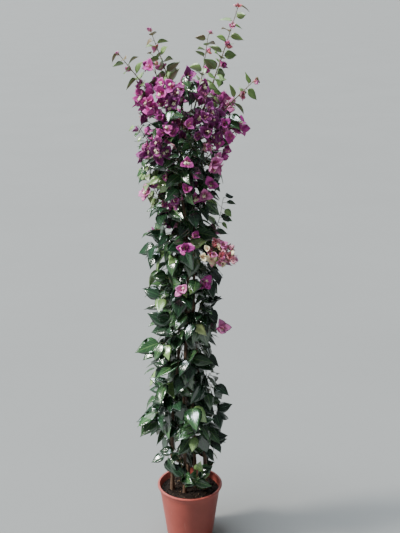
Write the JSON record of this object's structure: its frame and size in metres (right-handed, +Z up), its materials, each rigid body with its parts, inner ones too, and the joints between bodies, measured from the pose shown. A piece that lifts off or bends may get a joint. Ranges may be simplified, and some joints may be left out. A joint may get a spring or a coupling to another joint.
{
  "type": "potted bougainvillea",
  "caption": "Bougainvillea grown as a tall narrow column of glossy leaves with a head of magenta bracts and long top shoots, in a round plastic nursery pot.",
  "frame": {"origin": "middle of the pot's flat underside", "axes": "+Z up along the stems; the side that the picture shows faces -Y"},
  "size_m": [0.36, 0.2551, 1.4571],
  "materials": {
    "pot": "satin terracotta-coloured plastic",
    "soil": "moist dark peat",
    "bark": "thin ridged bark",
    "leaves": "glossy leaf",
    "young_leaves": "satin young leaf",
    "bracts": "papery bract"
  },
  "bodies": {
    "root": {"pot": "pot", "soil": "soil", "stem_left": "bark", "stem_right": "bark", "stem_front": "bark", "stem_middle": "bark", "stem_back": "bark", "bough_right_long": "bark", "bough_right_tall": "bark", "bough_back_right": "bark", "bough_left_tall": "bark", "bough_left_arching": "bark", "bough_back_left": "bark", "low_sprig_1": "leaves", "low_sprig_2": "leaves", "leaf_mass_1": "leaves", "leaf_mass_2": "leaves", "leaf_mass_3": "leaves", "leaf_mass_4": "leaves", "leaf_mass_5": "leaves", "leaf_mass_6": "leaves", "leaf_mass_7": "leaves", "leaf_mass_8": "leaves", "leaf_mass_9": "leaves", "leaf_mass_10": "leaves", "leaf_mass_11": "leaves", "leaf_mass_12": "leaves", "leaf_mass_13": "leaves", "leaf_mass_14": "leaves", "leaf_mass_15": "leaves", "leaf_mass_16": "leaves", "leaf_mass_17": "leaves", "leaf_mass_18": "leaves", "leaf_mass_19": "leaves", "leaf_mass_20": "leaves", "bract_mass_1": "bracts", "bract_mass_2": "bracts", "bract_mass_3": "bracts", "bract_mass_4": "bracts", "bract_mass_5": "bracts", "bract_mass_6": "bracts", "bract_mass_7": "bracts", "bract_mass_8": "bracts", "crown_mass": "bracts", "shoot_right_long": "young_leaves", "shoot_right_tall": "young_leaves", "shoot_back_right": "young_leaves", "shoot_left_tall": "young_leaves", "shoot_left_arching": "young_leaves", "shoot_back_left": "young_leaves"}
  },
  "joints": []
}
